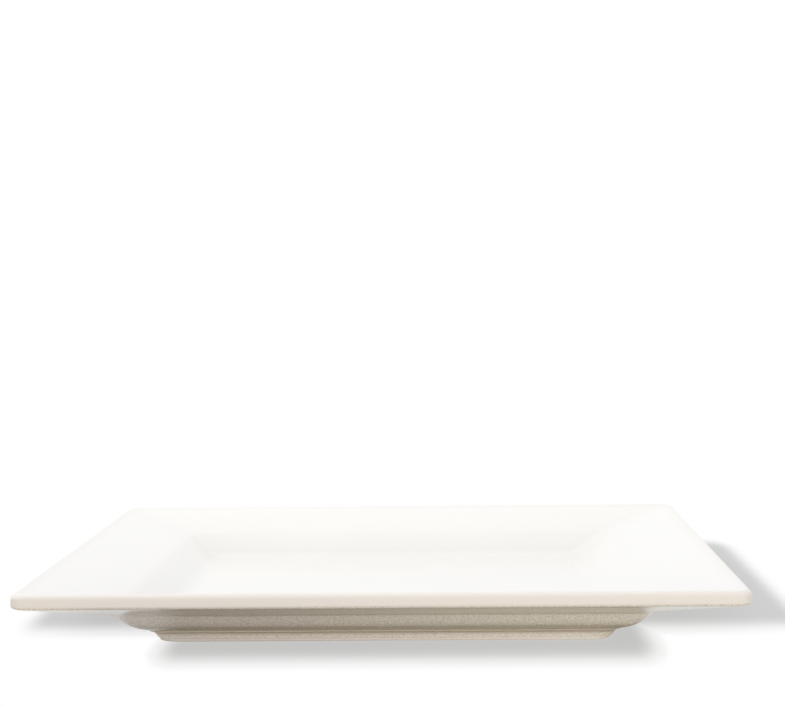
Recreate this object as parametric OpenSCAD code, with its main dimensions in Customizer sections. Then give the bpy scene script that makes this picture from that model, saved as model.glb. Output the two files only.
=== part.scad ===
// Square dinner plate of glazed porcelain, lying on its foot ring.
// The origin is the middle of the plate, on the plane that it stands on, and +Z is up.
// Every surface is a loft through rounded squares. One half profile gives each square
// its half width and height, and the squares' corners give the mitred corners of the plate.

/* [Plate] */
// Side of the plate over the rim
plate_side = 260; // [220:5:320]
// Height of the plate over all
plate_height = 25.2; // [23:0.1:30]
// Thickness of the floor of the well, without its glaze
floor_thickness = 4.6; // [3.5:0.1:6]
// Thickness of the glaze
glaze_thickness = 0.3; // [0.15:0.05:0.4]
// Least rounding that the glaze leaves in a hollow
pool_radius = 0.25; // [0.15:0.05:0.4]

/* [Rim] */
// Width of the rim, from its edge to the brink of the well
rim_width = 34.2; // [26:0.5:44]
// Slope of the rim's face, in degrees
rim_slope = 14.5; // [11:0.5:17]
// Height of the rim's edge, before it is rounded
rim_edge_height = 5.2; // [4.6:0.1:7]
// Rounding of the edge towards the face
edge_top_radius = 1.6; // [1:0.1:2.6]
// Rounding of the edge towards the underside
edge_bottom_radius = 1.2; // [0.6:0.1:1.8]
// Corner radius of the rim in plan
rim_corner_radius = 4.3; // [3.5:0.1:12]

/* [Well] */
// Width of the sloping well wall, from the brink to the floor
wall_width = 13.5; // [10:0.5:18]
// Rounding of the brink, where the rim turns down into the well
brink_radius = 10; // [2:0.5:16]
// Rounding between the well wall and the floor
well_fillet_radius = 13; // [4:0.5:18]
// Corner radius of the brink in plan
brink_corner_radius = 3.5; // [2:0.1:10]
// Corner radius of the floor in plan
floor_corner_radius = 5; // [2:0.1:14]

/* [Underside] */
// Width of the rim's flat underside, from the edge to the crease
under_rim_width = 29.2; // [25:0.2:31]
// Slope of the rim's underside, in degrees
under_rim_slope = 14; // [12:0.5:15.5]
// Rounding of the crease between the rim's underside and the belly
crease_radius = 5; // [2:0.5:8]
// Corner radius of the crease in plan
crease_corner_radius = 7; // [4:0.1:10]
// Width of the steep part of the belly, from the crease to its knee
belly_steep_width = 8; // [6:0.2:10]
// Height of the knee of the belly over its neck
belly_rise = 1.3; // [0.8:0.1:1.8]
// Rounding of the belly
belly_radius = 14; // [6:0.5:18]
// Corner radius of the belly in plan
belly_corner_radius = 4.5; // [3:0.1:10]

/* [Foot ring] */
// Distance from the rim's edge to the top of the foot ring
foot_inset = 43.8; // [41:0.2:47]
// Height of the foot ring's outer wall
foot_height = 3.2; // [2.6:0.1:3.8]
// Lean of the foot ring's outer wall, inwards to the seat
foot_lean = 1.9; // [0.6:0.1:2.2]
// Width of the seat that the plate stands on, before it is rounded
seat_width = 6.2; // [5:0.1:9]
// Rounding on both sides of the seat
seat_radius = 1; // [0.4:0.1:1.2]
// Depth of the recess inside the foot ring
recess_depth = 3.4; // [2.8:0.1:4.5]
// Lean of the foot ring's inner wall, outwards to the seat
recess_lean = 1.2; // [0.4:0.1:2]
// Rounding of the recess where it meets the foot ring
recess_radius = 2; // [0.6:0.1:2.2]
// Height at which the glaze ends over the bare seat
glaze_line = 1.2; // [1:0.1:1.4]
// Corner radius of the foot ring in plan
foot_corner_radius = 6; // [4:0.1:10]

/* [Groove above the foot] */
// Depth of the groove, from the top of the foot ring
groove_depth = 0.4; // [0.2:0.1:0.7]
// Height of the groove's bottom over the foot ring's outer wall
groove_rise = 0.6; // [0.5:0.1:0.9]
// Width of the bead, from the groove's bottom
bead_width = 2.4; // [1.6:0.1:3]
// Height of the bead over the groove's bottom
bead_rise = 0.6; // [0.4:0.1:0.8]
// Width of the step from the bead to the neck of the belly
neck_width = 0.5; // [0.2:0.1:0.8]
// Height of the neck over the bead
neck_rise = 0.6; // [0.45:0.05:0.8]
// Rounding of the groove, the bead and the foot ring's top
bead_radius = 0.45; // [0.45:0.05:0.6]

/* [Fineness] */
// Angle of one step on the roundings of the profile, in degrees
broad_step = 10; // [8:1:20]
// Angle of one step on roundings under the small radius, in degrees
small_step = 30; // [22:1:45]
// Radius under which a rounding takes the small step
small_radius = 1; // [0.5:0.1:1]
// Steps round each corner in plan
corner_steps = 6; // [4:1:7]

/* [Hidden] */

// The body is the finished plate less its glaze, and its bare seat lies on the plane z = 0.
body_half = plate_side / 2 - glaze_thickness;
body_top = plate_height - glaze_thickness;

// The rim's upper corner stands over the body's top by what its rounding takes away.
edge_top_z = body_top + edge_top_radius * (tan(rim_slope) + 1 / cos(rim_slope) - 1);
edge_bottom_z = edge_top_z - rim_edge_height;
brink_half = body_half - rim_width;
brink_z = edge_top_z - rim_width * tan(rim_slope);
floor_half = brink_half - wall_width;
floor_z = recess_depth + floor_thickness;

foot_top_half = body_half - foot_inset;
seat_outer_half = foot_top_half - foot_lean;
seat_inner_half = seat_outer_half - seat_width;
recess_half = seat_inner_half - recess_lean;

groove_half = foot_top_half - groove_depth;
groove_z = foot_height + groove_rise;
bead_half = groove_half + bead_width;
bead_z = groove_z + bead_rise;
neck_half = bead_half - neck_width;
neck_z = bead_z + neck_rise;

crease_half = body_half - under_rim_width;
crease_z = edge_bottom_z - under_rim_width * tan(under_rim_slope);
knee_half = crease_half - belly_steep_width;
knee_z = neck_z + belly_rise;

// Corners of the body's half profile, from the middle of the underside round to the
// middle of the floor: half width, height, rounding, and corner radius in plan.
BODY_PATH = [
    [0, recess_depth, 0, foot_corner_radius],
    [recess_half, recess_depth, recess_radius, foot_corner_radius],
    [recess_half + recess_lean * (1 - glaze_line / recess_depth), glaze_line, 0, foot_corner_radius],
    [seat_inner_half, 0, seat_radius, foot_corner_radius],
    [seat_outer_half, 0, seat_radius, foot_corner_radius],
    [seat_outer_half + foot_lean * glaze_line / foot_height, glaze_line, 0, foot_corner_radius],
    [foot_top_half, foot_height, bead_radius, foot_corner_radius],
    [groove_half, groove_z, bead_radius, foot_corner_radius],
    [bead_half, bead_z, bead_radius, foot_corner_radius],
    [neck_half, neck_z, bead_radius, foot_corner_radius],
    [knee_half, knee_z, belly_radius, belly_corner_radius],
    [crease_half, crease_z, crease_radius, crease_corner_radius],
    [body_half, edge_bottom_z, edge_bottom_radius, rim_corner_radius],
    [body_half, edge_top_z, edge_top_radius, rim_corner_radius],
    [brink_half, brink_z, brink_radius, brink_corner_radius],
    [floor_half, floor_z, well_fillet_radius, floor_corner_radius],
    [0, floor_z, 0, floor_corner_radius],
];

// Places in the path where a stretch of the surface begins or ends
FIRST = 1;
INNER_GLAZE_LINE = 2;
OUTER_GLAZE_LINE = 5;
LAST = len(BODY_PATH) - 2;

// Length and heading of the side of a path that starts at corner i
function side(path, i) = [path[i + 1][0] - path[i][0], path[i + 1][1] - path[i][1]];
function heading(path, i) = let (s = side(path, i)) atan2(s[1], s[0]);

// Signed turn at corner i: a positive turn is a ridge and a negative one a hollow
function turn(path, i) = let (t = heading(path, i) - heading(path, i - 1))
    t > 180 ? t - 360 : t < -180 ? t + 360 : t;
function turn_or_none(path, i) = i < FIRST || i > LAST ? 0 : turn(path, i);

// The corners of a coat's face, each moved out until the coat is as thick on both its
// sides. Its rounding grows on a ridge and shrinks in a hollow, where the glaze pools.
function coated(path, coat) = [
    for (i = [0 : len(path) - 1])
        let (
            corner = path[i],
            bend = turn_or_none(path, i),
            facing = heading(path, max(i - 1, 0)) - 90 + bend / 2,
            outward = coat / cos(bend / 2) * cos(facing),
            upward = coat / cos(bend / 2) * sin(facing),
            grown = bend > 0 ? corner[2] + coat : max(corner[2] - coat, pool_radius)
        )
        [
            corner[0] > 0 ? corner[0] + outward : 0,
            corner[1] + upward,
            corner[2] > 0 ? grown : 0,
            corner[3] + outward
        ]
];

// Corners of the glaze's face
FACE_PATH = coated(BODY_PATH, glaze_thickness);

// Most of a side's length that the roundings at its two ends take together
ROUNDING_SHARE = 0.92;

// How far the rounding of corner i would run along each of its two sides
function wanted(path, i) = path[i][2] * tan(abs(turn_or_none(path, i)) / 2);

// The share of that run which side i has room for, with the rounding at its other end
function room_share(path, i) = let (
        run = wanted(path, i) + wanted(path, i + 1),
        room = ROUNDING_SHARE * norm(side(path, i))
    ) run > room ? room / run : 1;
function run_of(path, i) = wanted(path, i) * min(room_share(path, i - 1), room_share(path, i));

// The points of the rounding at corner i: half width, height, and corner radius in plan.
// A corner that isn't rounded gives a single point.
function rounding(path, i) = let (
        corner = path[i],
        bend = turn(path, i),
        run = run_of(path, i),
        radius = run > 0 ? run / tan(abs(bend) / 2) : 0,
        start = [corner[0], corner[1]] - run * side(path, i - 1) / norm(side(path, i - 1)),
        facing = heading(path, i - 1) - 90,
        centre = start - sign(bend) * radius * [cos(facing), sin(facing)],
        steps = radius > 0 ? ceil(abs(bend) / (radius < small_radius ? small_step : broad_step)) : 0
    ) [
        for (s = [0 : steps])
            let (
                angle = facing + (steps > 0 ? bend * s / steps : 0),
                place = centre + sign(bend) * radius * [cos(angle), sin(angle)]
            )
            [place[0], place[1], corner[3]]
    ];

// The points of a path from one corner to another
function stretch(path, from, to) = [for (i = [from : to]) each rounding(path, i)];

function reversed(list) = [for (i = [len(list) - 1 : -1 : 0]) list[i]];

// A rounded square, anticlockwise from above
function rounded_square(point) = [
    for (quarter = [0 : 3], s = [0 : corner_steps])
        let (
            angle = 90 * (quarter + s / corner_steps),
            middle = 90 * quarter + 45,
            centre = (point[0] - point[2]) * [sign(cos(middle)), sign(sin(middle))]
        )
        [centre[0] + point[2] * cos(angle), centre[1] + point[2] * sin(angle), point[1]]
];

// A solid whose skin runs through one rounded square for each point, with a flat face
// inside the first and the last
module loft(points) {
    around = 4 * (corner_steps + 1);
    last = len(points) - 1;
    polyhedron(
        points = [for (p = points) each rounded_square(p)],
        faces = concat(
            [[for (j = [0 : around - 1]) j]],
            [
                for (k = [0 : last - 1], j = [0 : around - 1], half = [0, 1])
                    let (
                        here = k * around + j,
                        next = k * around + (j + 1) % around
                    )
                    half == 0
                        ? [here, here + around, next + around]
                        : [here, next + around, next]
            ],
            [[for (j = [around - 1 : -1 : 0]) last * around + j]]
        ),
        convexity = 6
    );
}

// Fired porcelain body with its foot ring, whose seat is bare
module porcelain_body() {
    color([0.90, 0.87, 0.81]) loft(stretch(BODY_PATH, FIRST, LAST));
}

// Glaze over the face, the rim's edge and the underside, down to the foot ring's outer wall
module outer_glaze() {
    skin = stretch(BODY_PATH, OUTER_GLAZE_LINE, LAST);
    face = stretch(FACE_PATH, OUTER_GLAZE_LINE, LAST);
    color([0.98, 0.97, 0.95]) loft(concat(reversed(skin), face));
}

// Glaze of the recess inside the foot ring
module base_glaze() {
    skin = stretch(BODY_PATH, FIRST, INNER_GLAZE_LINE);
    face = stretch(FACE_PATH, FIRST, INNER_GLAZE_LINE);
    color([0.96, 0.95, 0.92]) loft(concat(face, reversed(skin)));
}

porcelain_body();
outer_glaze();
base_glaze();
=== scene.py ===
import math
from collections import namedtuple

import bmesh
import bpy
from bpy.props import FloatProperty, FloatVectorProperty, IntProperty, PointerProperty
from bpy.types import Operator, Panel, PropertyGroup
from mathutils import Matrix, Vector, noise


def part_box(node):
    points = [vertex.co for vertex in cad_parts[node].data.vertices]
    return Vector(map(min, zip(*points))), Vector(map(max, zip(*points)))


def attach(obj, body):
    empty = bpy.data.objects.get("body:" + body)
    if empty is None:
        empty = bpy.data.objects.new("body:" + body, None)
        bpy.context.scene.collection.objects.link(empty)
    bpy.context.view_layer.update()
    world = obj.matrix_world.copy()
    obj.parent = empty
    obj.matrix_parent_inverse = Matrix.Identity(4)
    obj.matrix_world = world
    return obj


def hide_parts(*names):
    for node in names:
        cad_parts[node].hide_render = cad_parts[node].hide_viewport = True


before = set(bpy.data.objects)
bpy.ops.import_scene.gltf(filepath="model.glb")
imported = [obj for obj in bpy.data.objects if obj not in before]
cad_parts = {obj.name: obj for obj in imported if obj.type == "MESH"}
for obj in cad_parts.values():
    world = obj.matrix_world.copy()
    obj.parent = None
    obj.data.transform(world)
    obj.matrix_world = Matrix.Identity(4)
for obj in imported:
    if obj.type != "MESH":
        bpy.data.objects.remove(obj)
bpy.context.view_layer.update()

bl_info = {
    "name": "Square dinner plate",
    "version": (1, 0, 0),
    "blender": (4, 5, 0),
    "location": "View3D > Sidebar > Plate",
    "description": "Glazes the porcelain body of a square plate, and sets it in a white studio",
    "category": "Object",
}

ROOT = "root"
MM = 0.001

# High corners of the boxes of the CAD nodes
GLAZE_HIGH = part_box("outer_glaze")[1]
BODY_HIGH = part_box("porcelain_body")[1]
RECESS_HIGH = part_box("base_glaze")[1]

# Attributes that the lofts write on their vertices. The materials read the first three.
GATHER = "gather"
CREVICE = "crevice"
UNDERSIDE = "underside"
STATION = "station"


# Sizes and looks that a user would change

def length(name, description, default):
    """A length in metres."""
    return FloatProperty(
        name=name, description=description, default=default, min=0, unit="LENGTH", precision=5)


def angle(name, description, degrees):
    """An angle, given here in degrees."""
    return FloatProperty(
        name=name, description=description, default=math.radians(degrees), unit="ROTATION")


def share(name, description, default):
    """A share between none and all."""
    return FloatProperty(
        name=name, description=description, default=default, min=0, max=1, subtype="FACTOR")


def amount(name, description, default):
    """A plain number."""
    return FloatProperty(name=name, description=description, default=default, min=0)


def whole(name, description, default):
    """A whole number."""
    return IntProperty(name=name, description=description, default=default, min=2)


def colour(name, description, default):
    """A linear colour."""
    return FloatVectorProperty(
        name=name, description=description, default=default, min=0, max=1, size=3, subtype="COLOR")


def position(name, description, default):
    """A place in the studio, in metres."""
    return FloatVectorProperty(
        name=name, description=description, default=default, unit="LENGTH", precision=5)


def on_floor(name, description, millimetres):
    """A place on the floor, or a distance along X and Y, given here in millimetres."""
    return FloatVectorProperty(
        name=name, description=description, default=[value * MM for value in millimetres],
        size=2, unit="LENGTH")


class PlateSizes(PropertyGroup):
    """Sizes of the porcelain body, as its glaze follows them."""

    plate_half: length("Half side", "From the middle to the rim's glazed edge", GLAZE_HIGH.x)
    plate_height: length("Height", "Height of the glazed plate", GLAZE_HIGH.z)
    glaze_thickness: length("Glaze", "Thickness of the glaze", GLAZE_HIGH.x - BODY_HIGH.x)

    rim_width: length("Rim", "From its edge to the brink", 34.2 * MM)
    rim_slope: angle("Rim slope", "Slope of the rim's face", 14.5)
    rim_edge_height: length("Edge height", "Height of the rim's edge before rounding", 5.2 * MM)
    edge_top_radius: length("Edge top", "Rounding of the edge towards the face", 1.6 * MM)
    edge_bottom_radius: length("Edge bottom", "Rounding of the edge towards the underside", 1.2 * MM)
    rim_corner_radius: length("Rim corners", "Corner radius in plan", 4.3 * MM)

    wall_width: length("Wall", "From the brink to the floor of the well", 13.5 * MM)
    floor_thickness: length("Floor", "Thickness of the floor of the well", 4.6 * MM)
    brink_radius: length("Brink", "Rounding of the rim's turn into the well", 10 * MM)
    well_fillet_radius: length("Well fillet", "Rounding between the wall and the floor", 13 * MM)
    brink_corner_radius: length("Brink corners", "Corner radius in plan", 3.5 * MM)
    floor_corner_radius: length("Floor corners", "Corner radius in plan", 5 * MM)

    under_rim_width: length("Under rim", "Width of the rim's flat underside", 29.2 * MM)
    under_rim_slope: angle("Under slope", "Slope of the rim's underside", 14)
    crease_radius: length("Crease", "Rounding between the rim's underside and the belly", 5 * MM)
    crease_corner_radius: length("Crease corners", "Corner radius in plan", 7 * MM)
    belly_steep_width: length("Belly", "Width of the belly's steep part", 8 * MM)
    belly_rise: length("Belly rise", "Height of the belly's knee over its neck", 1.3 * MM)
    belly_radius: length("Belly rounding", "Rounding of the belly", 14 * MM)
    belly_corner_radius: length("Belly corners", "Corner radius in plan", 4.5 * MM)

    foot_inset: length("Foot inset", "From the rim's edge to the top of the foot ring", 43.8 * MM)
    foot_height: length("Foot height", "Height of the foot ring's outer wall", 3.2 * MM)
    foot_lean: length("Foot lean", "Lean of the foot ring's outer wall", 1.9 * MM)
    seat_width: length("Seat", "Width of the seat before rounding", 6.2 * MM)
    seat_radius: length("Seat rounding", "Rounding on both sides of the seat", 1 * MM)
    recess_depth: length("Recess", "Depth of the recess inside the foot ring", RECESS_HIGH.z)
    recess_lean: length("Recess lean", "Lean of the foot ring's inner wall", 1.2 * MM)
    recess_radius: length("Recess rounding", "Rounding of the recess at the foot ring", 2 * MM)
    glaze_line: length("Glaze line", "Height at which the glaze ends over the seat", 1.2 * MM)
    foot_corner_radius: length("Foot corners", "Corner radius in plan", 6 * MM)

    groove_depth: length("Groove", "Depth of the groove over the foot ring", 0.4 * MM)
    groove_rise: length("Groove rise", "Height of the groove's bottom over the foot", 0.6 * MM)
    bead_width: length("Bead", "Width of the bead over the groove", 2.4 * MM)
    bead_rise: length("Bead rise", "Height of the bead over the groove's bottom", 0.6 * MM)
    neck_width: length("Neck", "Width of the step from bead to neck", 0.5 * MM)
    neck_rise: length("Neck rise", "Height of the neck over the bead", 0.6 * MM)
    bead_radius: length("Bead rounding", "Rounding of the groove and the bead", 0.45 * MM)


class GlazeFlow(PropertyGroup):
    """How the glaze ran and set while it was molten, and where the crevices take their painted shade."""

    ridge_loss: share("Thin on ridges", "Share of its thickness that glaze loses on a ridge", 0.2)
    pool_radius: length("Pool radius", "Least rounding that glaze leaves in a hollow", 0.25 * MM)
    wave_height: length("Waves", "Height of the broad waves", 0.07 * MM)
    wave_length: length("Wave length", "Length of the broad waves", 34 * MM)
    roll_width: length("Roll", "Width over which it rolls off at its line", 0.7 * MM)
    line_sway: length("Line sway", "How far the glaze line wanders up and down", 0.16 * MM)
    line_sway_length: length("Sway length", "Length of one wander of the glaze line", 14 * MM)
    line_sway_reach: length("Sway reach", "How far above its line glaze follows the wander", 1.2 * MM)
    gather_radius: length("Gather radius", "Radius that draws half as much as a sharp edge", 2.5 * MM)
    gather_spread: amount("Gather spread", "How far a rounding draws glaze, in its own radii", 0.6)
    gather_spread_least: length("Least spread", "Radius added to every rounding for its spread", 0.4 * MM)
    # Painted shade: the crevice tone darkens the sharp hollows over the foot and runs up the belly's
    # underside
    crevice_strength: share("Crevices", "Strength from which a hollow is a crevice", 0.8)
    crevice_rise: length("Crevice rise", "How far its tone runs up the belly", 8 * MM)
    crevice_drop: length("Crevice drop", "How far its tone runs down the foot ring", 0.6 * MM)
    ring_spacing: length("Ring spacing", "Widest gap between rings on the face", 4 * MM)
    inner_spacing: length("Inner spacing", "Widest gap between rings against the body", 9 * MM)
    middle_half: length("Middle", "Half width of the flat cap in the middle", 3 * MM)
    arc_step: angle("Arc step", "Angle of a step on the roundings", 5)
    small_arc_step: angle("Small arc step", "Angle of a step on small roundings", 12)
    small_radius: length("Small radius", "Radius under which it takes the small step", 1 * MM)
    roll_steps: whole("Roll steps", "Rings of the rolled edge", 5)
    corner_steps: whole("Corner steps", "Steps round a corner in plan", 12)
    side_steps: whole("Side steps", "Steps along a side in plan", 48)


class PlateLooks(PropertyGroup):
    """Colours and finish of the glaze and the bare porcelain."""

    glaze: colour("Glaze", "Fired glaze over the white body", (0.905, 0.896, 0.872))
    # Painted shade on ridges: darker than the glaze, it dims the lit roundings, with the warm tint of
    # thin glaze
    thin_glaze: colour("Thin glaze", "Glaze on ridges, where the body warms it", (0.815, 0.788, 0.74))
    pooled_glaze: colour("Pooled glaze", "Glaze drawn into hollows", (0.868, 0.860, 0.832))
    # Painted shade in the crevices over the foot and up the belly's underside
    crevice: colour(
        "Crevices", "Thick glaze and dust in the crevices over the foot", (0.51, 0.47, 0.386))
    # Painted shade: darkens and tints the faces that look down
    hung_glaze: colour("Hung glaze", "Tint of the glaze on the underside", (0.80, 0.785, 0.745))
    speck: colour("Specks", "Iron specks under the glaze", (0.36, 0.30, 0.23))
    recess_glaze: colour("Recess glaze", "Thinner glaze inside the foot ring", (0.872, 0.855, 0.815))
    biscuit: colour("Biscuit", "Bare fired porcelain", (0.98, 0.96, 0.92))
    biscuit_dark: colour("Handled biscuit", "Bare porcelain greyed by tables", (0.56, 0.53, 0.485))
    glaze_roughness: share("Glaze roughness", "Roughness of the clean glaze", 0.075)
    recess_roughness: share("Recess roughness", "Roughness of the glaze inside the foot", 0.16)
    biscuit_roughness: share("Biscuit roughness", "Roughness of the bare porcelain", 0.82)
    glaze_index: amount("Glaze index", "Index of refraction of the glaze", 1.51)
    biscuit_index: amount("Biscuit index", "Index of refraction of the bare porcelain", 1.45)


class StudioSettings(PropertyGroup):
    """White studio: floor, tent, lamps and camera."""

    floor_half: length("Floor", "Half side of the floor", 3.0)
    # Painted shadow: inside these soft boxes the floor glows dimmer to the camera, over a small share of
    # its real cast shadow
    rim_shadow_low: on_floor("Rim shadow from", "Front left corner of the rim's shadow", (-133, -28))
    rim_shadow_high: on_floor("Rim shadow to", "Back right corner of the rim's shadow", (153, 150))
    foot_shadow_low: on_floor("Foot shadow from", "Front left corner of the foot's shadow", (-72, -91))
    foot_shadow_high: on_floor("Foot shadow to", "Back right corner of the foot's shadow", (90, 150))
    shadow_reach: on_floor("Shadow reach", "How far outside these corners it fades", (16, 54))
    floor_matt: colour("Floor", "Colour of the matt floor in the shadow", (0.96, 0.975, 1.0))
    floor_glow: share("Floor glow", "Share of the floor that glows in the shadow", 0.88)
    shadow_white: share("Shadow white", "Brightness of that glow in the shadow", 0.59)
    floor_white: amount("Floor white", "Brightness of the floor outside the shadow", 1.0)
    left_bounce: colour("Left bounce", "Light thrown up at the left", (0.10, 0.085, 0.055))
    right_bounce: colour("Right bounce", "Light thrown up at the right", (0.39, 0.352, 0.264))
    bounce_half: length("Bounce blend", "Half of the width over which they blend", 120 * MM)
    recess_bounce: colour("Recess bounce", "Light thrown up inside the foot ring", (0.62, 0.60, 0.56))
    recess_half: length("Recess half", "Half side of the floor inside the foot ring", 82 * MM)
    recess_reach: on_floor("Recess reach", "How far outside it the recess bounce fades", (1, 1))
    side_bounce: colour("Side bounce", "Light thrown up under the rim's left end", (1.0, 0.87, 0.56))
    side_low: on_floor("Side bounce from", "Front left corner of the side bounce", (-136, -136))
    side_high: on_floor("Side bounce to", "Back right corner of the side bounce", (-114, -112))
    side_reach: on_floor("Side reach", "How far outside these corners it fades", (5, 5))
    side_strength: amount("Side strength", "Strength of the side bounce", 1.2)
    tent: share("Tent", "Light of the white tent", 0.76)
    key_energy: amount("Key", "Power of the soft key lamp, in watts", 13)
    key_colour: colour("Key colour", "Colour of the soft key lamp", (1.0, 1.0, 1.0))
    key_size: length("Key size", "Side of the soft key lamp", 1.3)
    key_place: position("Key place", "Place of the key lamp", (-0.71195, 0.71195, 1.61129))
    fill_energy: amount("Fill", "Power of the low lamp in front, in watts", 22.5)
    fill_colour: colour("Fill colour", "Colour of the low lamp in front", (1.0, 0.865, 0.795))
    fill_size: length("Fill size", "Height of the low lamp in front", 0.3)
    fill_width: length("Fill width", "Width of the low lamp in front", 2.4)
    fill_place: position("Fill place", "Place of the low lamp", (-0.20876, -2.38615, 0.15070))
    camera_place: position("Camera", "Place of the camera", (0.02709, -0.81149, 0.13594))
    camera_yaw: angle("Yaw", "Turn of the camera to the left", 1.785)
    camera_pitch: angle("Pitch", "Tilt of the camera down", 2.292)
    camera_roll: angle("Roll", "Roll of the camera to the right", 0.652)
    camera_lens: FloatProperty(
        name="Lens", description="Focal length in millimetres", default=90.4, unit="CAMERA")


# The half profile of the plate

# A corner of the profile: its place, its rounding, and its corner radius in plan
Corner = namedtuple("Corner", "half height rounding plan")
# A ring of the loft: its place and facing, its corner radius in plan, how strongly it draws glaze,
# its painted crevice shade, how fully glaze covers it, how far it wanders, and if it is glaze
Point = namedtuple("Point", "half height facing plan gather crevice cover sway coat")
# A rounding, as lengths along the profile, and how strongly and how far it draws glaze
Arc = namedtuple("Arc", "start end strength spread")

# Bends under this angle, in radians, count as none
STRAIGHT = 1e-5
# Points of a profile that lie nearer than this count as one
LEAST_GAP = 0.005 * MM
# Most of a side that the roundings at its ends take together
ROUNDING_SHARE = 0.92


def plate_corners(s):
    """Corners of the body's half profile, from under its middle out and back to its floor."""
    half = s.plate_half - s.glaze_thickness
    top = s.plate_height - s.glaze_thickness
    edge_top = top + s.edge_top_radius * (math.tan(s.rim_slope) + 1 / math.cos(s.rim_slope) - 1)
    edge_bottom = edge_top - s.rim_edge_height
    brink = half - s.rim_width
    floor = brink - s.wall_width
    foot_top = half - s.foot_inset
    seat_outer = foot_top - s.foot_lean
    seat_inner = seat_outer - s.seat_width
    recess = seat_inner - s.recess_lean
    groove = foot_top - s.groove_depth
    bead = groove + s.bead_width
    neck = bead - s.neck_width
    crease = half - s.under_rim_width
    knee = crease - s.belly_steep_width
    groove_z = s.foot_height + s.groove_rise
    bead_z = groove_z + s.bead_rise
    neck_z = bead_z + s.neck_rise
    knee_z = neck_z + s.belly_rise
    crease_z = edge_bottom - s.under_rim_width * math.tan(s.under_rim_slope)
    brink_z = edge_top - s.rim_width * math.tan(s.rim_slope)
    floor_z = s.recess_depth + s.floor_thickness
    inner_line = recess + s.recess_lean * (1 - s.glaze_line / s.recess_depth)
    outer_line = seat_outer + s.foot_lean * s.glaze_line / s.foot_height
    foot, belly = s.foot_corner_radius, s.belly_corner_radius
    return {
        "recess middle": Corner(0, s.recess_depth, 0, foot),
        "recess": Corner(recess, s.recess_depth, s.recess_radius, foot),
        "inner line": Corner(inner_line, s.glaze_line, 0, foot),
        "seat inner": Corner(seat_inner, 0, s.seat_radius, foot),
        "seat outer": Corner(seat_outer, 0, s.seat_radius, foot),
        "outer line": Corner(outer_line, s.glaze_line, 0, foot),
        "foot top": Corner(foot_top, s.foot_height, s.bead_radius, foot),
        "groove": Corner(groove, groove_z, s.bead_radius, foot),
        "bead": Corner(bead, bead_z, s.bead_radius, foot),
        "neck": Corner(neck, neck_z, s.bead_radius, foot),
        "knee": Corner(knee, knee_z, s.belly_radius, belly),
        "crease": Corner(crease, crease_z, s.crease_radius, s.crease_corner_radius),
        "edge bottom": Corner(half, edge_bottom, s.edge_bottom_radius, s.rim_corner_radius),
        "edge top": Corner(half, edge_top, s.edge_top_radius, s.rim_corner_radius),
        "brink": Corner(brink, brink_z, s.brink_radius, s.brink_corner_radius),
        "floor": Corner(floor, floor_z, s.well_fillet_radius, s.floor_corner_radius),
        "floor middle": Corner(0, floor_z, 0, s.floor_corner_radius),
    }


def direction(turn):
    """Unit vector at an angle."""
    return Vector((math.cos(turn), math.sin(turn)))


def blended(a, b, part):
    """A point between two others."""
    return Point(*(x + (y - x) * part for x, y in zip(a, b)))


def gap(a, b):
    """Distance between two points of the profile."""
    return math.hypot(b.half - a.half, b.height - a.height)


def headings_of(corners):
    """Heading of each side of the profile, running on past a half turn without a jump."""
    headings = []
    for a, b in zip(list(corners.values()), list(corners.values())[1:]):
        heading = math.atan2(b.height - a.height, b.half - a.half)
        before = headings[-1] if headings else heading
        headings.append(before + (heading - before + math.pi) % (2 * math.pi) - math.pi)
    return headings


def coated_corners(corners, thickness, flow):
    """The same corners moved out to the face of a coat, which fills the sharpest hollows."""
    headings = headings_of(corners)
    coated = {}
    for i, (name, corner) in enumerate(corners.items()):
        before, after = headings[max(i - 1, 0)], headings[min(i, len(headings) - 1)]
        bend = after - before
        out = direction((before + after) / 2 - math.pi / 2) * thickness / math.cos(bend / 2)
        if bend > 0:
            grown = corner.rounding + thickness
        else:
            grown = max(corner.rounding - thickness, flow.pool_radius)
        half = corner.half + out.x if corner.half > 0 else 0.0
        coated[name] = Corner(
            half, corner.height + out.y, grown if corner.rounding > 0 else 0.0, corner.plan + out.x)
    return coated


def rounded_corners(corners, first, last, flow):
    """Points of the profile from one named corner to another, each rounded by an arc."""
    names = list(corners)
    ends = names.index(first), names.index(last)
    spots = [Vector((c.half, c.height)) for c in corners.values()]
    sides = [b - a for a, b in zip(spots, spots[1:])]
    headings = headings_of(corners)
    bends = [0.0] + [b - a for a, b in zip(headings, headings[1:])] + [0.0]
    wanted = [c.rounding * math.tan(abs(bend) / 2) for c, bend in zip(corners.values(), bends)]
    room = [
        min(1.0, ROUNDING_SHARE * side.length / max(a + b, LEAST_GAP))
        for side, a, b in zip(sides, wanted, wanted[1:])]
    points = []
    for i in range(min(ends), max(ends) + 1):
        corner = corners[names[i]]
        bend = bends[i]
        ridge = math.copysign(1.0, bend)
        run = wanted[i] * min(room[i - 1], room[i])
        radius = run / math.tan(abs(bend) / 2) if run > 0 else 0.0
        facing = headings[i - 1] - math.pi / 2
        centre = spots[i] - run * direction(headings[i - 1]) - ridge * radius * direction(facing)
        arc_step = flow.small_arc_step if radius < flow.small_radius else flow.arc_step
        steps = math.ceil(abs(bend) / arc_step) if radius > 0 else 0
        for step in range(steps + 1):
            turned = facing + (bend * step / steps if steps else 0.0)
            place = centre + ridge * radius * direction(turned)
            points.append(Point(
                half=place.x, height=place.y, facing=turned, plan=corner.plan,
                gather=0.0, crevice=0.0, cover=1.0, sway=0.0, coat=True))
    return points if ends[0] < ends[1] else points[::-1]


def filled(points, spacing):
    """The same points, with rings between those that lie further apart than the spacing."""
    full = [points[0]]
    for a, b in zip(points, points[1:]):
        if gap(a, b) < LEAST_GAP:
            continue
        parts = math.ceil(gap(a, b) / spacing)
        full += [blended(a, b, part / parts) for part in range(1, parts + 1)]
    return full


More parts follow.
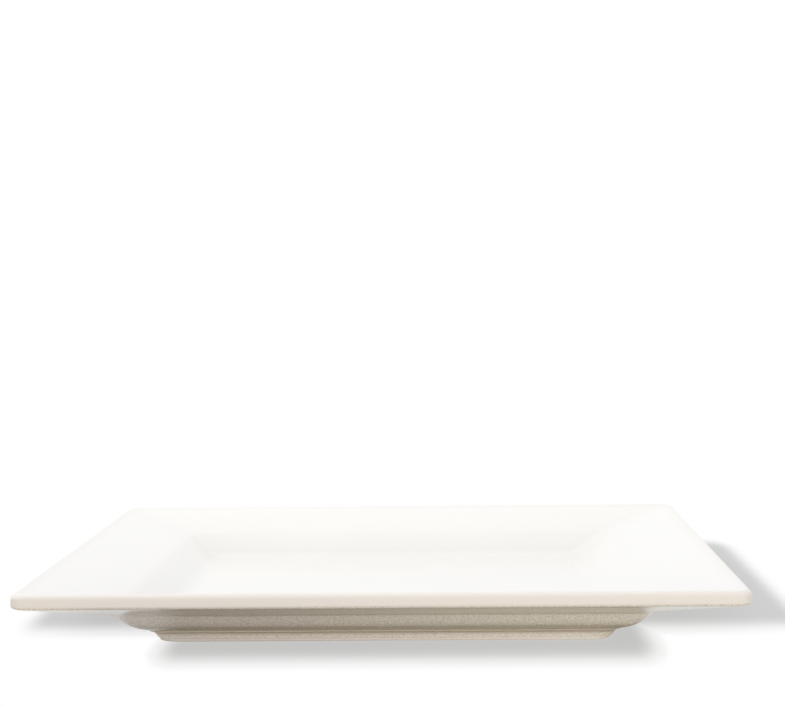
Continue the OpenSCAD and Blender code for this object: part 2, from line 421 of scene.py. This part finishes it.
def arcs_of(points, flow):
    """Ridges and hollows along a profile, with how strongly and how far each draws glaze."""
    along, arcs = 0.0, []
    for a, b in zip(points, points[1:]):
        span, bend = gap(a, b), b.facing - a.facing
        if abs(bend) > STRAIGHT:
            radius = span / abs(bend)
            strength = math.copysign(flow.gather_radius / (radius + flow.gather_radius), -bend)
            spread = flow.gather_spread * (radius + flow.gather_spread_least)
            arcs.append(Arc(along, along + span, strength, spread))
        along += span
    return arcs


def drawn_by(arcs, along):
    """What some ridges and hollows draw together at one place along the profile."""
    total = 0.0
    for arc in arcs:
        start, end = ((edge - along) / arc.spread for edge in (arc.start, arc.end))
        total += arc.strength * (math.erf(end) - math.erf(start)) / 2
    return total


def crevice_at(hollows, along, flow):
    """Painted shade of the nearest crevice at one place along the profile, from 0 to 1."""
    tone = 0.0
    for arc in hollows:
        reach = flow.crevice_rise if along > arc.end else flow.crevice_drop
        away = max(arc.start - along, along - arc.end, 0.0)
        tone = max(tone, math.exp(-(away / reach) ** 2))
    return tone


def gathered(points, arcs, flow):
    """The same points, each with what the ridges and hollows near it draw together, and its painted
    crevice shade.
    """
    hollows = [arc for arc in arcs if arc.strength > flow.crevice_strength]
    along, full = 0.0, []
    for before, point in zip([points[0]] + points, points):
        along += gap(before, point)
        full.append(point._replace(
            gather=drawn_by(arcs, along), crevice=crevice_at(hollows, along, flow)))
    return full


def rolled(points, flow):
    """The same points, where the glaze rolls off at the first one and its line wanders."""
    first, after = points[0], points[1]
    wall = gap(first, after)
    roll = []
    for step in range(1, flow.roll_steps):
        turn = math.pi / 2 * step / flow.roll_steps
        part = flow.roll_width * (1 - math.cos(turn)) / wall
        roll.append(blended(first, after, part)._replace(cover=math.sin(turn)))
    edge = blended(first, after, flow.roll_width / wall)
    fade = [first._replace(cover=0.0)] + roll + [edge] + points[1:]
    return [p._replace(sway=max(0.0, 1 - gap(first, p) / flow.line_sway_reach)) for p in fade]


# Rounded squares and the loft through them

# A place round a rounded square: which corner's centre it belongs to, and the way it faces
Station = namedtuple("Station", "corner outward")


def square_stations(flow):
    """Stations round a rounded square, anticlockwise from the first corner's right side."""
    quarter_turn = math.pi / 2
    signs = [Vector(pair) for pair in ((1, 1), (-1, 1), (-1, -1), (1, -1), (1, 1))]
    stations = []
    for quarter, (here, after) in enumerate(zip(signs, signs[1:])):
        stations += [
            Station(here, direction(quarter_turn * (quarter + step / flow.corner_steps)))
            for step in range(flow.corner_steps + 1)]
        stations += [
            Station(here.lerp(after, step / flow.side_steps), direction(quarter_turn * (quarter + 1)))
            for step in range(1, flow.side_steps)]
    return stations


def on_square(station, half, plan):
    """Place of a station on a rounded square of that half width and corner radius."""
    return station.corner * (half - plan) + station.outward * plan


def glazed_place(point, station, thickness, flow):
    """Place of one vertex: the glaze sinks on ridges, in broad waves and where it rolls off."""
    spot = on_square(station, point.half, point.plan)
    skin = Vector((spot.x, spot.y, point.height))
    wave = flow.wave_height * (0.5 + 0.5 * noise.noise(skin / flow.wave_length))
    ridge = thickness * flow.ridge_loss * max(-point.gather, 0.0)
    sunk = thickness * (1 - point.cover) + point.cover * (wave + ridge) if point.coat else 0.0
    sway = point.sway * flow.line_sway * noise.noise(skin / flow.line_sway_length)
    shift = sway * direction(point.facing + math.pi / 2) - sunk * direction(point.facing)
    spot = on_square(station, point.half + shift.x, point.plan + shift.x)
    return Vector((spot.x, spot.y, point.height + shift.y))


def loft(name, points, thickness, flow):
    """A closed mesh through one rounded square for each point, capped at both ends."""
    stations = square_stations(flow)
    bm = bmesh.new()
    number = bm.verts.layers.int.new(STATION)
    gather = bm.verts.layers.float.new(GATHER)
    crevice = bm.verts.layers.float.new(CREVICE)
    underside = bm.verts.layers.float.new(UNDERSIDE)

    def place(verts, point):
        for vert in verts:
            vert.co = glazed_place(point, stations[vert[number]], thickness, flow)
            vert[gather] = point.gather
            vert[crevice] = point.crevice
            vert[underside] = max(0.0, -math.sin(point.facing))

    ring = bmesh.ops.create_circle(bm, segments=len(stations), radius=points[0].half)["verts"]
    for index, vert in enumerate(ring):
        vert[number] = index
    place(ring, points[0])
    edges = bm.edges[:]
    first_edges = edges
    for point in points[1:]:
        made = bmesh.ops.extrude_edge_only(bm, edges=edges)["geom"]
        ring = {element for element in made if isinstance(element, bmesh.types.BMVert)}
        edges = [
            element for element in made
            if isinstance(element, bmesh.types.BMEdge) and ring.issuperset(element.verts)]
        place(ring, point)
    caps = [
        face for end in (first_edges, edges) for face in bmesh.ops.edgeloop_fill(bm, edges=end)["faces"]]
    bmesh.ops.poke(bm, faces=caps)
    bmesh.ops.recalc_face_normals(bm, faces=bm.faces)
    mesh = bpy.data.meshes.new(name)
    bm.to_mesh(mesh)
    bm.free()
    mesh.shade_smooth()
    piece = bpy.data.objects.new(name, mesh)
    bpy.context.scene.collection.objects.link(piece)
    return piece


def to_middle(points, flow):
    """The same points, carried on over a flat stretch to a small square in the middle."""
    return points + [points[-1]._replace(half=flow.middle_half, plan=flow.middle_half / 2)]


def coat_path(body, face, flow):
    """The loft path of a coat: along the body to the glaze line, and back over the coat's face."""
    inner = [p._replace(coat=False) for p in filled(to_middle(body, flow), flow.inner_spacing)]
    face = to_middle(face, flow)
    outer = gathered(filled(rolled(face, flow), flow.ring_spacing), arcs_of(face, flow), flow)
    return inner[:0:-1] + outer


def coat_between(name, line, end, context):
    """A coat of glaze from its line to the corner where its flat stretch begins."""
    sizes, flow = context.scene.plate_sizes, context.scene.glaze_flow
    corners = plate_corners(sizes)
    body = rounded_corners(corners, line, end, flow)
    face = rounded_corners(coated_corners(corners, sizes.glaze_thickness, flow), line, end, flow)
    return loft(name, coat_path(body, face, flow), sizes.glaze_thickness, flow)


# Shader nodes

# Noise: clouds in a metre, levels of finer clouds, and how strong those are
Clouds = namedtuple("Clouds", "scale detail roughness")
# Specks: cells in a metre, size of a speck in its cell, and share of the cells that hold one
Specks = namedtuple("Specks", "cells size kept")
# Heights and depths of a glaze's relief, in metres
Relief = namedtuple("Relief", "peel ripple pinhole grain")

GLAZE_CLOUDS = Clouds(14.0, 3.0, 0.5)
GLAZE_GRAIN = Clouds(1300.0, 3.0, 0.75)
ORANGE_PEEL = Clouds(800.0, 1.0, 0.5)
RIPPLE = Clouds(120.0, 1.0, 0.5)
SANDY_GRAIN = Clouds(2600.0, 1.0, 0.5)
SMEARS = Clouds(38.0, 4.0, 0.6)
DRY_PATCHES = Clouds(22.0, 4.0, 0.6)
BISCUIT_GRAIN = Clouds(1500.0, 3.0, 0.7)
WEAR_STREAKS = Clouds(1.0, 4.0, 0.65)
IRON_SPECKS = Specks(46.0, 0.022, 0.22)
PINHOLES = Specks(31.0, 0.011, 0.3)
KILN_DUST = Specks(220.0, 0.1, 0.25)
FACE_RELIEF = Relief(5e-6, 1.6e-5, 4e-5, 4e-6)
RECESS_RELIEF = Relief(9e-6, 3e-5, 6e-5, 5e-6)

# Size of the smallest speck, as a share of the size given, and the share of a speck that is full
SPECK_LEAST, SPECK_CORE = 0.35, 0.55
# How far the glaze that a rounding draws shows in its tone, with painted shade on ridges
GATHER_SHOWN = 1.3
# Share of a crevice's painted shade that stays on a ridge, and the values between which it sets in
CREVICE_ON_RIDGE, CREVICE_SPAN = 0.6, (0.1, 0.9)
# How far specks, broad clouds and grain show in the tone of a glaze
SPECKS_SHOWN, CLOUDS_SHOWN, RECESS_CLOUDS_SHOWN = 0.45, 0.05, 0.11
UNDER_GRAIN_SHOWN, RECESS_GRAIN_SHOWN = 1.4, 0.12
# How far a face looks down, from 0 to 1, where it is grainy and where it takes painted underside shade
UNDER_SPAN, UNDERSIDE_SHADE_SPAN = (0.25, 0.6), (0.78, 0.98)
# Values of their noise between which smears, dry patches and wear set in
SMEAR_SPAN, DRY_SPAN, WEAR_SPAN = (0.35, 0.75), (0.4, 0.7), (0.48, 0.72)
# Roughness that smears, the underside, pinholes and dry patches give a glaze
SMEAR_ROUGH, UNDER_ROUGH, PINHOLE_ROUGH, DRY_ROUGH = 0.035, 0.01, 0.5, 0.12
# Turn of the streaks on the seat, and how narrow they are along each axis
STREAK_TURN, STREAK_SCALE = (0, 0, 0.5), (60.0, 420.0, 60.0)
# Height that wear reaches, and how far wear, dust and grain show on the biscuit
WEAR_HEIGHT, WEAR_SHOWN, DUST_SHOWN, BISCUIT_GRAIN_SHOWN = 0.25 * MM, 0.55, 0.5, 0.15
# Roughness that wear takes from the biscuit, and the height of its grain in metres
WEAR_POLISH, BISCUIT_GRAIN_HEIGHT = 0.2, 2.2e-5


def put(tree, kind, inputs=None, **settings):
    """Adds a node with its settings, and fills its inputs with values or other sockets."""
    made = tree.nodes.new(kind)
    for name, value in settings.items():
        setattr(made, name, value)
    for name, value in (inputs or {}).items():
        if isinstance(value, bpy.types.NodeSocket):
            tree.links.new(value, made.inputs[name])
        else:
            made.inputs[name].default_value = value
    return made


def maths(tree, operation, *values, clamp=False):
    """The result of one sum."""
    made = put(tree, "ShaderNodeMath", dict(enumerate(values)), operation=operation, use_clamp=clamp)
    return made.outputs[0]


def times(tree, a, b, clamp=False):
    """One value times another."""
    return maths(tree, "MULTIPLY", a, b, clamp=clamp)


def plus(tree, a, b, clamp=False):
    """Two values together."""
    return maths(tree, "ADD", a, b, clamp=clamp)


def mixed(tree, factor, a, b, blend="MIX"):
    """A mix of two colours."""
    made = put(tree, "ShaderNodeMix", {0: factor, 6: a, 7: b}, data_type="RGBA", blend_type=blend)
    return made.outputs[2]


def ramped(tree, value, low, high, start=0.0, end=1.0):
    """A value that runs smoothly from start to end while another runs from low to high."""
    made = put(tree, "ShaderNodeMapRange", {
        "Value": value, "From Min": low, "From Max": high, "To Min": start, "To Max": end,
    }, interpolation_type="SMOOTHSTEP")
    return made.outputs["Result"]


def object_place(tree):
    """The place on the piece, in metres."""
    return put(tree, "ShaderNodeTexCoord").outputs["Object"]


def cloudy(tree, place, clouds):
    """Noise from 0 to 1."""
    made = put(tree, "ShaderNodeTexNoise", {
        "Vector": place, "Scale": clouds.scale, "Detail": clouds.detail, "Roughness": clouds.roughness})
    return made.outputs["Fac"]


def attribute(tree, name):
    """A value that the loft wrote on the mesh."""
    return put(tree, "ShaderNodeAttribute", attribute_name=name).outputs["Fac"]


def opaque(colour_value):
    """A colour with its alpha."""
    return (*colour_value, 1.0)


def new_group(name, colours, numbers, results):
    """A shader node group, its inputs as they are seen inside it, and its outputs."""
    tree = bpy.data.node_groups.new(name, "ShaderNodeTree")
    sockets = [("INPUT", socket, "NodeSocketColor") for socket in colours]
    sockets += [("INPUT", socket, "NodeSocketFloat") for socket in numbers]
    sockets += [("OUTPUT", socket, kind) for socket, kind in results.items()]
    for side, socket, kind in sockets:
        tree.interface.new_socket(name=socket, in_out=side, socket_type=kind)
    return tree, put(tree, "NodeGroupInput").outputs, put(tree, "NodeGroupOutput").inputs


def use_group(tree, group, inputs):
    """Places a group in a tree, and returns its outputs."""
    return put(tree, "ShaderNodeGroup", inputs, node_tree=group).outputs


def specked(tree, group, specks):
    """The mask of one kind of specks."""
    values = {"Cells": specks.cells, "Size": specks.size, "Kept": specks.kept}
    return use_group(tree, group, values)["Mask"]


def speck_group():
    """Scattered round specks or pinholes, as a mask."""
    tree, given, result = new_group(
        "Scattered specks", (), ("Cells", "Size", "Kept"), {"Mask": "NodeSocketFloat"})
    cells = put(tree, "ShaderNodeTexVoronoi", {"Vector": object_place(tree), "Scale": given["Cells"]})
    chance = put(tree, "ShaderNodeSeparateColor", {"Color": cells.outputs["Color"]}).outputs
    size = times(tree, given["Size"], plus(tree, chance["Green"], SPECK_LEAST))
    away = maths(tree, "DIVIDE", cells.outputs["Distance"], size)
    spot = ramped(tree, away, SPECK_CORE, 1.0, 1.0, 0.0)
    kept = maths(tree, "LESS_THAN", chance["Red"], given["Kept"])
    tree.links.new(times(tree, spot, kept), result["Mask"])
    return tree


def glaze_tone_group(specks):
    """Colour of a glaze: warm and darker on ridges as painted shade, pooled in hollows, painted shade in
    crevices, specked.
    """
    tree, given, result = new_group(
        "Glaze tone", ("Glaze", "Thin", "Pooled", "Crevice colour", "Speck"),
        ("Gather", "Crevice", "Clouds", "Grain"), {"Colour": "NodeSocketColor"})
    place = object_place(tree)
    pooled = times(tree, given["Gather"], GATHER_SHOWN, clamp=True)
    thin = times(tree, given["Gather"], -GATHER_SHOWN, clamp=True)
    # Ridges take the darker thin colour: painted shade that dims the lit roundings, with the warm tint of
    # thin glaze
    glazed = mixed(tree, thin, mixed(tree, pooled, given["Glaze"], given["Pooled"]), given["Thin"])
    # Painted shade in the crevices over the foot and up the belly's underside, kept lighter on ridges
    left = ramped(tree, thin, 0.0, 1.0, 1.0, CREVICE_ON_RIDGE)
    crevice_shade = times(tree, ramped(tree, given["Crevice"], *CREVICE_SPAN), left)
    tone = mixed(tree, crevice_shade, glazed, given["Crevice colour"])
    broad = maths(tree, "SUBTRACT", cloudy(tree, place, GLAZE_CLOUDS), 0.5)
    fine = maths(tree, "SUBTRACT", cloudy(tree, place, GLAZE_GRAIN), 0.5)
    shade = plus(tree, times(tree, broad, given["Clouds"]), times(tree, fine, given["Grain"]))
    lit = plus(tree, 1.0, shade)
    grey = put(tree, "ShaderNodeCombineColor", {"Red": lit, "Green": lit, "Blue": lit}).outputs["Color"]
    shaded = mixed(tree, 1.0, tone, grey, "MULTIPLY")
    faint = times(tree, specked(tree, specks, IRON_SPECKS), SPECKS_SHOWN)
    tree.links.new(mixed(tree, faint, shaded, given["Speck"]), result["Colour"])
    return tree


def glaze_relief_group(specks):
    """Height of a fired glaze in metres: orange peel, ripple, grain and pinholes."""
    tree, given, result = new_group(
        "Glaze relief", (), Relief._fields,
        {"height": "NodeSocketFloat", "holes": "NodeSocketFloat"})
    place = object_place(tree)
    peel = times(tree, cloudy(tree, place, ORANGE_PEEL), given["peel"])
    ripple = times(tree, cloudy(tree, place, RIPPLE), given["ripple"])
    grain = times(tree, cloudy(tree, place, SANDY_GRAIN), given["grain"])
    holes = specked(tree, specks, PINHOLES)
    pits = times(tree, holes, given["pinhole"])
    raised = plus(tree, plus(tree, peel, ripple), grain)
    tree.links.new(maths(tree, "SUBTRACT", raised, pits), result["height"])
    tree.links.new(holes, result["holes"])
    return tree


def new_material(name, base):
    """A material with a Principled shader, and its node tree and shader."""
    material = bpy.data.materials.new(name)
    material.use_nodes = True
    material.diffuse_color = opaque(base)
    tree = material.node_tree
    return material, tree, tree.nodes["Principled BSDF"]


def finish(tree, shader, colour_socket, roughness, index, height):
    """Feeds a Principled shader, whose bump is a height in metres."""
    bump = put(tree, "ShaderNodeBump", {"Height": height, "Strength": 1.0, "Distance": 1.0})
    shader.inputs["IOR"].default_value = index
    tree.links.new(colour_socket, shader.inputs["Base Color"])
    tree.links.new(roughness, shader.inputs["Roughness"])
    tree.links.new(bump.outputs["Normal"], shader.inputs["Normal"])


def toned(tree, group, looks, glaze, values):
    """Colour of a glaze, with the tones that both glazes share and some values of its own."""
    colours = {
        "Glaze": glaze, "Thin": looks.thin_glaze, "Pooled": looks.pooled_glaze,
        "Crevice colour": looks.crevice, "Speck": looks.speck}
    inputs = {name: opaque(value) for name, value in colours.items()}
    return use_group(tree, group, {**inputs, "Gather": attribute(tree, GATHER), **values})["Colour"]


def glaze_material(looks, groups):
    """Glossy ivory glaze, grainier underneath, with painted shade where it faces down."""
    material, tree, shader = new_material("ivory_glaze", looks.glaze)
    facing_down = attribute(tree, UNDERSIDE)
    under = ramped(tree, facing_down, *UNDER_SPAN)
    downward_shade = ramped(tree, facing_down, *UNDERSIDE_SHADE_SPAN)
    tone = toned(tree, groups["Glaze tone"], looks, looks.glaze, {
        "Crevice": attribute(tree, CREVICE), "Clouds": CLOUDS_SHOWN,
        "Grain": times(tree, under, UNDER_GRAIN_SHOWN)})
    # Painted shade: faces that look down are darkened and tinted
    base = mixed(tree, downward_shade, tone, opaque(looks.hung_glaze), "MULTIPLY")
    grain = times(tree, under, FACE_RELIEF.grain)
    relief = use_group(tree, groups["Glaze relief"], {**FACE_RELIEF._asdict(), "grain": grain})
    smears = ramped(tree, cloudy(tree, object_place(tree), SMEARS), *SMEAR_SPAN, 0.0, SMEAR_ROUGH)
    soft = plus(tree, smears, times(tree, under, UNDER_ROUGH))
    pits = times(tree, relief["holes"], PINHOLE_ROUGH)
    rough = maths(tree, "MAXIMUM", plus(tree, soft, looks.glaze_roughness), pits)
    finish(tree, shader, base, rough, looks.glaze_index, relief["height"])
    return material


def recess_glaze_material(looks, groups):
    """Thinner, slightly dry glaze inside the foot ring, more clouded than the face."""
    material, tree, shader = new_material("recess_glaze", looks.recess_glaze)
    tone = toned(tree, groups["Glaze tone"], looks, looks.recess_glaze, {
        "Clouds": RECESS_CLOUDS_SHOWN, "Grain": RECESS_GRAIN_SHOWN})
    relief = use_group(tree, groups["Glaze relief"], RECESS_RELIEF._asdict())
    dry = ramped(tree, cloudy(tree, object_place(tree), DRY_PATCHES), *DRY_SPAN, 0.0, DRY_ROUGH)
    rough = plus(tree, dry, looks.recess_roughness)
    finish(tree, shader, tone, rough, looks.glaze_index, relief["height"])
    return material


def biscuit_material(looks, groups):
    """Bare porcelain, dry and grained, greyed in streaks where it slid over tables."""
    material, tree, shader = new_material("biscuit", looks.biscuit)
    place = object_place(tree)
    bare, dark = opaque(looks.biscuit), opaque(looks.biscuit_dark)
    grain = cloudy(tree, place, BISCUIT_GRAIN)
    drawn_out = put(tree, "ShaderNodeMapping", {
        "Vector": place, "Rotation": STREAK_TURN, "Scale": STREAK_SCALE}).outputs["Vector"]
    streaks = ramped(tree, cloudy(tree, drawn_out, WEAR_STREAKS), *WEAR_SPAN)
    height = put(tree, "ShaderNodeSeparateXYZ", {"Vector": place}).outputs["Z"]
    worn = times(tree, ramped(tree, height, 0.0, WEAR_HEIGHT, 1.0, 0.0), streaks)
    grained = mixed(tree, times(tree, grain, BISCUIT_GRAIN_SHOWN), bare, dark)
    marked = mixed(tree, times(tree, worn, WEAR_SHOWN), grained, dark)
    dust = times(tree, specked(tree, groups["Scattered specks"], KILN_DUST), DUST_SHOWN)
    base = mixed(tree, dust, marked, opaque(looks.speck))
    rough = maths(tree, "SUBTRACT", looks.biscuit_roughness, times(tree, worn, WEAR_POLISH))
    finish(tree, shader, base, rough, looks.biscuit_index, times(tree, grain, BISCUIT_GRAIN_HEIGHT))
    return material


def shared_groups():
    """The node groups that the materials share, made once."""
    if "Scattered specks" not in bpy.data.node_groups:
        specks = speck_group()
        glaze_tone_group(specks)
        glaze_relief_group(specks)
    return bpy.data.node_groups


# The studio

# Cells along a side of the floor, and the width of the camera's sensor in millimetres
FLOOR_CELLS, SENSOR_WIDTH = 8, 36.0


def seen_rays(tree):
    """One for rays that show a surface to the camera, straight or in a reflection."""
    path = put(tree, "ShaderNodeLightPath").outputs
    shown = plus(tree, path["Is Camera Ray"], path["Is Glossy Ray"], clamp=True)
    return plus(tree, shown, path["Is Transmission Ray"], clamp=True)


def outside(tree, spot, low, high, reach):
    """How far a spot lies outside a box on the floor: none inside it, one where the reach ends."""
    low, high, reach = Vector((*low, 0)), Vector((*high, 0)), Vector((*reach, 1))
    for operation, *values in (
            ("SUBTRACT", (low + high) / 2), ("ABSOLUTE",), ("SUBTRACT", (high - low) / 2),
            ("DIVIDE", reach), ("MAXIMUM", Vector())):
        inputs = dict(enumerate((spot, *values)))
        spot = put(tree, "ShaderNodeVectorMath", inputs, operation=operation).outputs["Vector"]
    return put(tree, "ShaderNodeVectorMath", {0: spot}, operation="LENGTH").outputs["Value"]


def within(tree, spot, low, high, reach):
    """How far a spot belongs to a box on the floor: one inside it, none where the reach ends."""
    return ramped(tree, outside(tree, spot, low, high, reach), 0.0, 1.0, 1.0, 0.0)


def thrown_light(tree, s, spot):
    """Light that the floor throws up: less at the left, more inside the foot ring."""
    across = put(tree, "ShaderNodeSeparateXYZ", {"Vector": spot}).outputs["X"]
    rightness = ramped(tree, across, -s.bounce_half, s.bounce_half)
    side = within(tree, spot, s.side_low, s.side_high, s.side_reach)
    inner = Vector((s.recess_half, s.recess_half))
    ringed = within(tree, spot, -inner, inner, s.recess_reach)
    thrown = mixed(tree, rightness, opaque(s.left_bounce), opaque(s.right_bounce))
    thrown = mixed(tree, side, thrown, opaque(s.side_bounce))
    thrown = mixed(tree, ringed, thrown, opaque(s.recess_bounce))
    strength = ramped(tree, side, 0.0, 1.0, 1.0, s.side_strength)
    return put(tree, "ShaderNodeEmission", {"Color": thrown, "Strength": strength}).outputs[0]


def floor_material(s):
    """White floor with a painted shadow over a share of the plate's real shadow, lights its underside,
    and is clear from below.
    """
    material, tree, principled = new_material("studio_floor", (1, 1, 1))
    tree.nodes.remove(principled)
    spot = object_place(tree)
    eye = put(tree, "ShaderNodeLightPath").outputs["Is Camera Ray"]
    # Painted shadow: inside two soft boxes the camera sees a dimmer glow over a small share of the real
    # shadow; reflections see the matt floor
    fade = ramped(tree, maths(
        tree, "MINIMUM",
        outside(tree, spot, s.rim_shadow_low, s.rim_shadow_high, s.shadow_reach),
        outside(tree, spot, s.foot_shadow_low, s.foot_shadow_high, s.shadow_reach)), 0.0, 1.0)
    bright = ramped(tree, fade, 0.0, 1.0, s.shadow_white, s.floor_white)
    glow = put(tree, "ShaderNodeEmission", {"Color": (1, 1, 1, 1), "Strength": bright}).outputs[0]
    matt = put(tree, "ShaderNodeBsdfDiffuse", {"Color": opaque(s.floor_matt)}).outputs[0]
    kept = maths(tree, "MAXIMUM", fade, times(tree, eye, s.floor_glow))
    seen = put(tree, "ShaderNodeMixShader", {0: kept, 1: matt, 2: glow}).outputs[0]
    bounce = thrown_light(tree, s, spot)
    lit = put(tree, "ShaderNodeMixShader", {0: seen_rays(tree), 1: bounce, 2: seen}).outputs[0]
    clear = put(tree, "ShaderNodeBsdfTransparent").outputs[0]
    below = put(tree, "ShaderNodeNewGeometry").outputs["Backfacing"]
    final = put(
        tree, "ShaderNodeMixShader", {0: times(tree, below, eye), 1: lit, 2: clear}).outputs[0]
    tree.links.new(final, tree.nodes["Material Output"].inputs["Surface"])
    return material


def add_floor(s):
    """A flat floor at the foot ring's seat."""
    bm = bmesh.new()
    bmesh.ops.create_grid(bm, x_segments=FLOOR_CELLS, y_segments=FLOOR_CELLS, size=s.floor_half)
    mesh = bpy.data.meshes.new("studio_floor")
    bm.to_mesh(mesh)
    bm.free()
    mesh.materials.append(floor_material(s))
    floor = bpy.data.objects.new("studio_floor", mesh)
    bpy.context.scene.collection.objects.link(floor)


def add_tent(s):
    """White all round: full white to the eye, and softer as a light."""
    world = bpy.data.worlds.new("white_tent")
    world.use_nodes = True
    tree = world.node_tree
    strength = ramped(tree, seen_rays(tree), 0.0, 1.0, s.tent, 1.0)
    background = tree.nodes["Background"]
    background.inputs["Color"].default_value = (1, 1, 1, 1)
    tree.links.new(strength, background.inputs["Strength"])
    bpy.context.scene.world = world


def add_lamp(name, energy, tint, width, height, place):
    """A soft lamp that faces the plate and shows neither itself nor its reflection."""
    light = bpy.data.lights.new(name, "AREA")
    light.shape = "RECTANGLE"
    light.size = width
    light.size_y = height
    light.energy = energy
    light.color = tint
    lamp = bpy.data.objects.new(name, light)
    facing = Vector(place).to_track_quat("Z", "Y").to_matrix().to_4x4()
    lamp.matrix_world = Matrix.Translation(place) @ facing
    lamp.visible_camera = False
    lamp.visible_glossy = False
    bpy.context.scene.collection.objects.link(lamp)


def add_camera(s):
    """The camera, low in front of the plate, a little to the right of its middle."""
    lens = bpy.data.cameras.new("camera")
    lens.lens = s.camera_lens
    lens.sensor_width = SENSOR_WIDTH
    camera = bpy.data.objects.new("camera", lens)
    turn = (
        Matrix.Rotation(s.camera_yaw, 4, "Z")
        @ Matrix.Rotation(math.pi / 2 - s.camera_pitch, 4, "X")
        @ Matrix.Rotation(-s.camera_roll, 4, "Z"))
    camera.matrix_world = Matrix.Translation(s.camera_place) @ turn
    bpy.context.scene.collection.objects.link(camera)
    bpy.context.scene.camera = camera


# Operators

class PLATE_OT_bare_body(Operator):
    """Finish the porcelain body, whose foot ring stands on bare biscuit"""

    bl_idname = "plate.bare_body"
    bl_label = "Bare porcelain"

    def execute(self, context):
        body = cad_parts["porcelain_body"]
        body.data.materials.clear()
        body.data.materials.append(biscuit_material(context.scene.plate_looks, shared_groups()))
        return {"FINISHED"}


class PLATE_OT_face_glaze(Operator):
    """Glaze the face, the rim's edge and the underside, down to the foot ring's outer wall"""

    bl_idname = "plate.face_glaze"
    bl_label = "Face glaze"

    def execute(self, context):
        piece = coat_between("glaze_coat", "outer line", "floor", context)
        piece.data.materials.append(glaze_material(context.scene.plate_looks, shared_groups()))
        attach(piece, ROOT)
        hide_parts("outer_glaze")
        return {"FINISHED"}


class PLATE_OT_recess_glaze(Operator):
    """Glaze the recess inside the foot ring"""

    bl_idname = "plate.recess_glaze"
    bl_label = "Recess glaze"

    def execute(self, context):
        piece = coat_between("recess_glaze", "inner line", "recess", context)
        piece.data.materials.append(recess_glaze_material(context.scene.plate_looks, shared_groups()))
        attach(piece, ROOT)
        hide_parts("base_glaze")
        return {"FINISHED"}


class PLATE_OT_studio(Operator):
    """Set the plate on a white floor in a white tent, with two soft lamps and the camera"""

    bl_idname = "plate.studio"
    bl_label = "Studio"

    def execute(self, context):
        s = context.scene.plate_studio
        add_floor(s)
        add_tent(s)
        add_lamp("soft_key", s.key_energy, s.key_colour, s.key_size, s.key_size, s.key_place)
        add_lamp("low_fill", s.fill_energy, s.fill_colour, s.fill_width, s.fill_size, s.fill_place)
        add_camera(s)
        context.scene.view_settings.view_transform = "Standard"
        return {"FINISHED"}


class PLATE_PT_sidebar(Panel):
    """Buttons and sizes of the plate"""

    bl_label = "Square dinner plate"
    bl_space_type = "VIEW_3D"
    bl_region_type = "UI"
    bl_category = "Plate"

    def draw(self, context):
        layout = self.layout
        for operator in OPERATORS:
            layout.operator(operator.bl_idname)
        for holder in GROUPS:
            layout.separator()
            settings = getattr(context.scene, holder)
            for name in settings.bl_rna.properties.keys():
                if name not in ("rna_type", "name"):
                    layout.prop(settings, name)


GROUPS = {
    "plate_sizes": PlateSizes,
    "glaze_flow": GlazeFlow,
    "plate_looks": PlateLooks,
    "plate_studio": StudioSettings,
}
OPERATORS = (PLATE_OT_bare_body, PLATE_OT_face_glaze, PLATE_OT_recess_glaze, PLATE_OT_studio)


def register():
    """Register the settings, the operators and the panel."""
    for name, group in GROUPS.items():
        bpy.utils.register_class(group)
        setattr(bpy.types.Scene, name, PointerProperty(type=group))
    for kind in (*OPERATORS, PLATE_PT_sidebar):
        bpy.utils.register_class(kind)


def unregister():
    """Take away what register made."""
    for kind in (PLATE_PT_sidebar, *reversed(OPERATORS)):
        bpy.utils.unregister_class(kind)
    for name, group in reversed(GROUPS.items()):
        delattr(bpy.types.Scene, name)
        bpy.utils.unregister_class(group)


def main():
    """Makes the plate and its studio."""
    register()
    bpy.ops.plate.bare_body()
    bpy.ops.plate.face_glaze()
    bpy.ops.plate.recess_glaze()
    bpy.ops.plate.studio()


if __name__ == "__main__":
    main()
